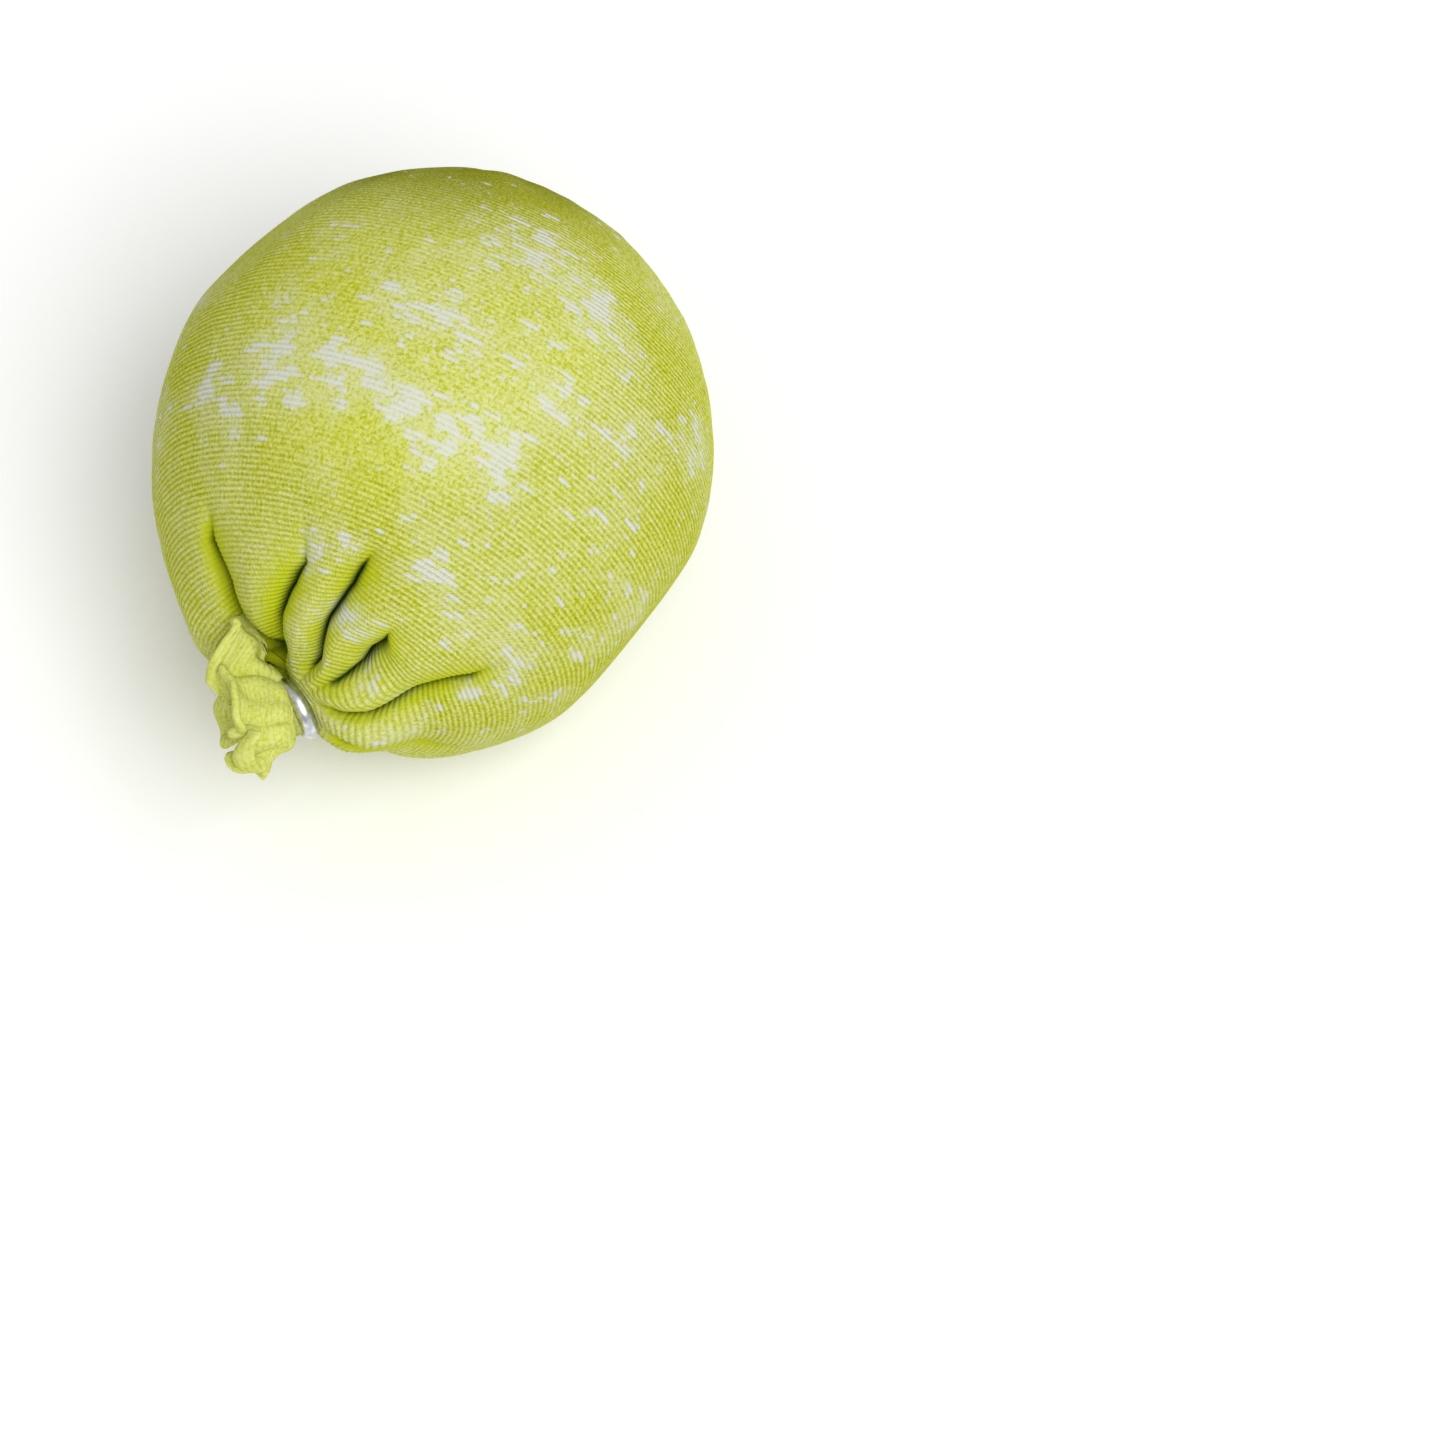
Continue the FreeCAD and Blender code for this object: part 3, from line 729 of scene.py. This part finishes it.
def clip_ring():
    """A strip of aluminium bent round the neck: flat inside, rounded outside, a little oval."""
    around, across = 120, 20
    gap = math.radians(5)
    inner, thick, wide = 3.85, 1.5, 2.5
    turn = np.linspace(gap / 2, TURN - gap / 2, around) - 0.62 * math.pi
    grid = np.empty((around, across, 3))
    for k in range(across):
        corner = TURN * k / across
        out = inner + thick * max(0.0, math.cos(corner)) ** 0.9
        along = CLIP_REACH + wide / 2 * math.copysign(abs(math.sin(corner)) ** 0.9, math.sin(corner))
        oval = 1 + 0.03 * np.cos(2 * turn + 0.6)
        grid[:, k] = np.column_stack([out * oval * np.cos(turn), out * oval * np.sin(turn),
                                      along + 0.12 * np.sin(turn * 3)])
    points = on_neck(grid.reshape(-1, 3)).reshape(around, across, 3)
    return mesh_from_grid("clip", points, cap=(True, True))


# --- The cut tail ------------------------------------------------------------------------------

class Petal:
    """A lobe of the cut end, with its angles in degrees.

    It has the angle it points to, its half width, how far it folds out, its length, how much its
    edge curls, and how far along it the fold is.
    """

    def __init__(self, toward, half_width, flare, length, curl, fold_at=0.3):
        self.toward, self.half_width, self.length = toward, half_width, length
        self.shape = np.array([flare, curl, fold_at])


PETALS = [
    Petal(157, 20, 90, 15.8, -14, 0.36), Petal(90, 41, 8, 12.2, 100), Petal(26, 26, 24, 11.5, 130),
    Petal(-24, 24, 34, 6.4, 30), Petal(-76, 28, 30, 10.0, 80), Petal(-142, 42, 14, 15.0, 60),
]
VALLEY_LENGTH = 8.0
PUFF = 66
# How far a petal's sides swell over its neighbours, as a share of its half width
SWELL = 0.38
# The tail starts inside the clip: its radius there, and how far that is behind the tail's pivot
TAIL_ROOT_RADIUS = 3.3
TAIL_ROOT_INSIDE = 1.7
# The cut end's cloth: its thickness, and its stitches round it and along it
CLOTH_THICKNESS = 1.25
TAIL_WALES = 90
TAIL_COURSES = 15


def petal_shape(toward):
    """The petals' flare, length, curl and place of the fold at angles round the tail.

    It also gives how much of a petal each angle is, and how far it swells sideways, in degrees.
    """
    total = np.zeros((len(toward), 3))
    length = np.full(len(toward), VALLEY_LENGTH)
    weight_sum = np.zeros(len(toward))
    swell = np.zeros(len(toward))
    for petal in PETALS:
        away = angle_between(toward, petal.toward) / petal.half_width
        weight = 1 - smoothstep(0.6, 1.1, np.abs(away))
        total += weight[:, None] * petal.shape
        length += (petal.length - VALLEY_LENGTH) * np.sqrt(np.clip(1 - away ** 2, 0, 1))
        weight_sum += weight
        swell += SWELL * petal.half_width * np.sin(math.pi * np.clip(away, -1, 1))
    share = np.clip(weight_sum, 0, 1)
    flare, curl, fold_at = (total / np.maximum(weight_sum, 1)[:, None]).T
    return flare, length, curl, fold_at + (1 - share) * 0.3, share, swell


def tail_frill(around=360, along=80):
    """The tube's cut end as a grid: it puffs out of the clip in lobes, and its raw edge curls."""
    toward = np.linspace(0, 360, around, endpoint=False)
    flare, length, curl, fold_at, share, swell = petal_shape(toward)
    b = np.linspace(0, 1, along)[:, None]
    puff = PUFF * share * np.exp(-((b - 0.1) / 0.14) ** 2)
    folded_out = flare * smoothstep(-0.25, 0.25, b - fold_at)
    bend = np.radians(puff + folded_out + curl * smoothstep(0.6, 1.0, b) ** 1.5)
    step = length / (along - 1)
    start = np.zeros((1, around))
    forward = np.concatenate([start, np.cumsum(np.cos(bend[1:]) * step, axis=0)]) - TAIL_ROOT_INSIDE
    out = TAIL_ROOT_RADIUS + np.concatenate([start, np.cumsum(np.sin(bend[1:]) * step, axis=0)])
    pleats = np.cos(np.radians(9 * toward + 40)) + 0.6 * np.cos(np.radians(14 * toward))
    out = out + 0.3 * pleats * smoothstep(0.02, 0.3, b)
    turn = np.radians(toward + swell * smoothstep(0.08, 0.6, b))
    points = np.stack([out * np.cos(turn), out * np.sin(turn), forward], axis=-1)
    flat = points.reshape(-1, 3)
    crumple = np.column_stack([soft_noise(flat, 11, seed, 2) for seed in (21, 22, 23)])
    flat = flat + 0.75 * crumple * np.repeat(smoothstep(0.05, 0.6, b).ravel(), around)[:, None]
    # How deep in the valleys between petals each point lies, less so towards the edge; make_tail turns it
    # into painted shade.
    deep = (1 - share) * (1 - 0.7 * smoothstep(0.5, 1.0, b))
    return flat.reshape(along, around, 3), deep


def thick_cloth(grid, thickness):
    """A sheet's grid made thick: out along one face, round the raw edge, and back along the other."""
    down = np.gradient(grid, axis=0)
    across = (np.roll(grid, -1, axis=1) - np.roll(grid, 1, axis=1)) / 2
    normal = np.cross(down, across)
    normal /= np.maximum(np.linalg.norm(normal, axis=2), 1e-9)[..., None]
    half = thickness / 2
    edge_out = down[-1] / np.linalg.norm(down[-1], axis=1)[:, None]
    rim = [grid[-1] + half * (math.cos(a) * normal[-1] + math.sin(a) * edge_out)
           for a in np.radians([35, 70, 110, 145])]
    return np.concatenate([grid + half * normal, rim, (grid - half * normal)[::-1]])


def on_tail(points):
    """Points built about +Z from the tail's pivot, put where the tail points."""
    direction = np.array([-math.sin(TAIL_LEAN), -math.cos(TAIL_LEAN), 0.0])
    up = np.array([0.0, 0.0, 1.0])
    side = np.cross(up, direction)
    return TAIL_POINT + points[:, :1] * side + points[:, 1:2] * up + points[:, 2:3] * direction


# How far the middle of the tail's cloth is pushed off the ball's shoulder. The push is evened out over
# its neighbours, and the tip of the longest lobe still dips about half a millimetre into the shoulder.
TAIL_ROOM = 1.9


def blur(grid, reach):
    """Evens a grid out over a few points each way. It closes on itself round its columns."""
    rows = len(grid)
    total = np.zeros_like(grid)
    for step in range(-reach, reach + 1):
        total += np.roll(grid, step, axis=1) + grid[np.clip(np.arange(rows) + step, 0, rows - 1)]
    return total / (4 * reach + 2)


def keep_off(sheet, shoulder):
    """Moves a sheet's points out from the ball's shoulder wherever they lie too near it."""
    rows, columns = shoulder.shape[:2]
    index = np.arange(rows * columns).reshape(rows, columns)
    beside = np.roll(index, -1, axis=1)
    quads = np.stack([index[:-1], index[1:], beside[1:], beside[:-1]], axis=-1).reshape(-1, 4)
    tree = BVHTree.FromPolygons(shoulder.reshape(-1, 3).tolist(), quads.tolist())
    ease = smoothstep(0.05, 0.3, np.linspace(0, 1, len(sheet)))[:, None, None]
    for _ in range(8):
        push = np.zeros_like(sheet)
        for place in np.ndindex(sheet.shape[:2]):
            spot, normal, _, _ = tree.find_nearest(Vector(sheet[place]), 14.0)
            if spot is not None:
                gap = (sheet[place] - np.array(spot)) @ np.array(normal)
                push[place] = max(0.0, TAIL_ROOM - gap) * np.array(normal)
        sheet = sheet + 0.6 * ease * blur(blur(push, 7), 7)
    return sheet


def make_tail(material, shoulder):
    sheet, deep = tail_frill()
    along, around = sheet.shape[:2]
    sheet = keep_off(on_tail(sheet.reshape(-1, 3)).reshape(along, around, 3), shoulder)
    points = thick_cloth(sheet, CLOTH_THICKNESS)
    rows = len(points)
    across = np.arange(around) * TAIL_WALES / around
    outside = np.linspace(0, TAIL_COURSES, along)
    edge = TAIL_COURSES + np.array([0.1, 0.3, 0.5, 0.7])
    courses = np.concatenate([outside, edge, TAIL_COURSES + 0.8 + outside])
    # Painted shade: the valleys between petals, and the whole inside face a little, get a fold value that
    # the knit paints darker.
    fold = np.concatenate([deep, np.repeat(deep[-1:], len(edge), axis=0), deep[::-1] * 0.5 + 0.25])
    piece = mesh_from_grid("tail_cloth", points, (across, courses), (True, True),
                           {"fold": fold * 0.45, "gather": np.ones(rows * around)})
    return finish_piece(piece, material, "green_knit", "tail_frill")


# --- Knots and threads ---------------------------------------------------------------------------

def pleated_knot(name, ys, radii, pleats, depth, seed, columns=144, rows=40):
    """Gathered cloth tied at its waist: pleats run along it, and both ends are tucked in."""
    along = np.linspace(0, 1, rows)
    line = smooth_line(list(zip(ys, radii)), 0.05)[1]
    share = np.linspace(0, 1, len(line))
    y = np.interp(along, share, line[:, 0])
    radius = np.interp(along, share, line[:, 1])
    tucked = np.sqrt(np.clip(1 - np.abs(2 * along - 1) ** 7, 0.02, 1))
    turn = np.linspace(0, TURN, columns, endpoint=False)
    random = np.random.default_rng(seed)
    uneven = turn + 0.12 * np.sin(3 * turn + random.uniform(0, 6)) + 0.08 * np.sin(5 * turn)
    pleat = np.abs(np.cos(uneven * pleats / 2)) ** 0.8 - 0.6
    grid = np.empty((rows, columns, 3))
    for row in range(rows):
        twisted = turn + 0.35 * along[row]
        out = radius[row] * tucked[row] + depth * pleat * min(1.0, radius[row] / max(radii)) * tucked[row]
        grid[row] = np.column_stack([out * np.cos(twisted), np.full(columns, y[row]),
                                     AXIS_Z + out * np.sin(twisted)])
    # Painted shade: the pleats' valleys get a fold value that the knit paints darker, dark green at the
    # deepest; the muslin doesn't read it.
    values = {"fold": np.tile(0.7 - 1.3 * pleat, (rows, 1)).clip(0, 0.9),
              "gather": np.ones(rows * columns)}
    across = np.arange(columns) * 40 / columns
    return mesh_from_grid(name, grid, (across, (y - y[0]) / COURSE_PITCH), (True, True), values)


def wound_thread(name, y, ring_radius, thread_radius, turns, pitch):
    """A twisted two-ply thread wound round the ball's axis."""
    steps = int(180 * turns)
    turn = np.linspace(0, TURN * turns, steps) + 0.8
    centre_y = y + pitch * (turn - turn.mean()) / TURN
    corner = np.linspace(0, TURN, 16, endpoint=False)
    grid = np.empty((steps, 16, 3))
    for k in range(steps):
        twist = turn[k] * ring_radius / thread_radius * 0.55
        ply = thread_radius * (0.84 + 0.16 * np.cos(2 * (corner - twist)))
        out = ring_radius + ply * np.cos(corner)
        grid[k] = np.column_stack([out * math.cos(turn[k]), centre_y[k] + ply * np.sin(corner),
                                   AXIS_Z + out * math.sin(turn[k])])
    return mesh_from_grid(name, grid, cap=(True, True))


def dress(node, material):
    """Gives a CAD node that stays in view its material."""
    for slot in bpy.data.objects[node].material_slots:
        slot.material = material


# --- Stage -------------------------------------------------------------------------------------

CAMERA_AZIMUTH = math.radians(22.0)
CAMERA_ELEVATION = math.radians(63.5)
PICTURE_WIDTH = 0.2283
LENS = 150.0
SENSOR = 36.0
# How far the ball's middle is to the left of and above the picture's middle
BALL_LEFT, BALL_UP = 0.0457, 0.0413


def view_directions():
    a, e = CAMERA_AZIMUTH, CAMERA_ELEVATION
    right = np.array([math.cos(a), math.sin(a), 0])
    up = np.array([-math.sin(a) * math.sin(e), math.cos(a) * math.sin(e), math.cos(e)])
    back = np.array([math.sin(a) * math.cos(e), -math.cos(a) * math.cos(e), math.sin(e)])
    return right, up, back


def make_camera():
    right, up, back = view_directions()
    middle = np.array([0, EGG_MIDDLE_Y, AXIS_Z]) * MM
    aim = middle + BALL_LEFT * right - BALL_UP * up
    data = bpy.data.cameras.new("camera")
    data.lens, data.sensor_width = LENS, SENSOR
    data.clip_start, data.clip_end = 0.01, 20
    camera = bpy.data.objects.new("camera", data)
    bpy.context.scene.collection.objects.link(camera)
    distance = LENS / SENSOR * PICTURE_WIDTH
    turn = Matrix([list(row) for row in np.column_stack([right, up, back])]).to_4x4()
    camera.matrix_world = Matrix.Translation((aim + back * distance).tolist()) @ turn
    bpy.context.scene.camera = camera


def area_light(name, direction, distance, size, power):
    """A soft square light that shines at the ball from a direction."""
    data = bpy.data.lights.new(name, "AREA")
    data.shape, data.size, data.energy = "SQUARE", size, power
    light = bpy.data.objects.new(name, data)
    bpy.context.scene.collection.objects.link(light)
    toward = Vector(direction).normalized()
    light.location = Vector((0, 0, AXIS_Z * MM)) + toward * distance
    light.rotation_euler = toward.to_track_quat("Z", "Y").to_euler()


def make_stage():
    size = 3.0
    mesh = bpy.data.meshes.new("floor")
    corners = [(-size, -size, 0), (size, -size, 0), (size, size, 0), (-size, size, 0)]
    mesh.from_pydata(corners, [], [(0, 1, 2, 3)])
    floor = bpy.data.objects.new("floor", mesh)
    bpy.context.scene.collection.objects.link(floor)
    n = Nodes("floor_white")
    n.set(Base_Color=(0.96, 0.96, 0.96, 1), Roughness=0.7, Specular_IOR_Level=0.2)
    mesh.materials.append(n.material)
    world = bpy.data.worlds.new("studio")
    world.use_nodes = True
    world.node_tree.nodes["Background"].inputs[0].default_value = (1, 1, 1, 1)
    world.node_tree.nodes["Background"].inputs[1].default_value = 0.61
    bpy.context.scene.world = world
    right, up, back = view_directions()
    area_light("key", back + 0.32 * right - 0.02 * up, 2.2, 1.3, 33.8)
    bpy.context.scene.view_settings.view_transform = "Standard"


# --- Build -------------------------------------------------------------------------------------

make_camera()
make_stage()
LIME_KNIT = knit_material("lime_knit")
TAIL_KNIT = knit_material("tail_knit", rubbed=False, relief=0.3, paler=0.85)

neck, ball, neck_rim, shoulder = knit_cover()
finish_piece(ball, LIME_KNIT, "green_knit", "knit_cover")
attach(ball, "root")
finish_piece(neck, LIME_KNIT, "green_knit", "neck_gather")
bend_start, bend_stop = bend_span(neck_rim)
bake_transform(neck)

MUSLIN = muslin_material()
liner = finish_piece(inner_layer("muslin_pouch", 1.35, 0.45), MUSLIN, "muslin", "liner_pouch")
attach(liner, "root")
herbs = finish_piece(inner_layer("herb_fill", 2.0, 0.6), ground_herb_material(), "ground_herbs",
                     "herb_pack")
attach(herbs, "root")

clip = finish_piece(clip_ring(), clip_material(), "clip_metal", "clip_ring")
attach(clip, "closure")

tail = make_tail(TAIL_KNIT, shoulder)
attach(tail, "tail")

tuft = pleated_knot("navel_tuft", (46.6, 45.4, 44.1, 42.6, 41.2), (2.7, 2.5, 2.0, 3.2, 4.3),
                    pleats=13, depth=0.5, seed=5)
finish_piece(tuft, TAIL_KNIT, "green_knit", "end_tuft")
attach(tuft, "root")
THREAD = thread_material()
tuft_thread = wound_thread("navel_thread", 44.1, 2.55, 0.32, turns=3.2, pitch=0.64)
finish_piece(tuft_thread, THREAD, "cotton_thread", "tuft_thread")
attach(tuft_thread, "root")
mouth = pleated_knot("muslin_mouth", (-34.5, -35.2, -35.8, -36.6, -37.5), (3.0, 2.5, 2.0, 2.5, 2.9),
                     pleats=11, depth=0.4, seed=6)
finish_piece(mouth, MUSLIN, "muslin", "liner_mouth")
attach(mouth, "root")
mouth_string = wound_thread("muslin_string", -35.8, 2.6, 0.4, turns=1.15, pitch=0.5)
finish_piece(mouth_string, THREAD, "cotton_thread", "liner_string")
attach(mouth_string, "root")

dress("turmeric_slices",
      plant_material("turmeric", rgb(196, 112, 20), rgb(236, 162, 52), 240, (1, 1, 3)))
dress("lemongrass_rounds",
      plant_material("lemongrass", rgb(158, 164, 98), rgb(214, 212, 158), 420, (1, 4, 1)))
dress("lime_peel_strips",
      plant_material("lime_peel", rgb(52, 82, 26), rgb(112, 136, 48), 700, (1, 1, 1), 0.6, 0.0007))
dress("ginger_slices",
      plant_material("ginger", rgb(176, 142, 84), rgb(222, 198, 138), 300, (3, 1, 1)))
dress("camphor_lumps",
      plant_material("camphor", rgb(214, 220, 224), rgb(246, 248, 250), 200, (1, 1, 1), 0.35))
dress("lime_leaf_pieces",
      plant_material("lime_leaf", rgb(58, 76, 32), rgb(104, 120, 58), 260, (1, 5, 1), 0.6))
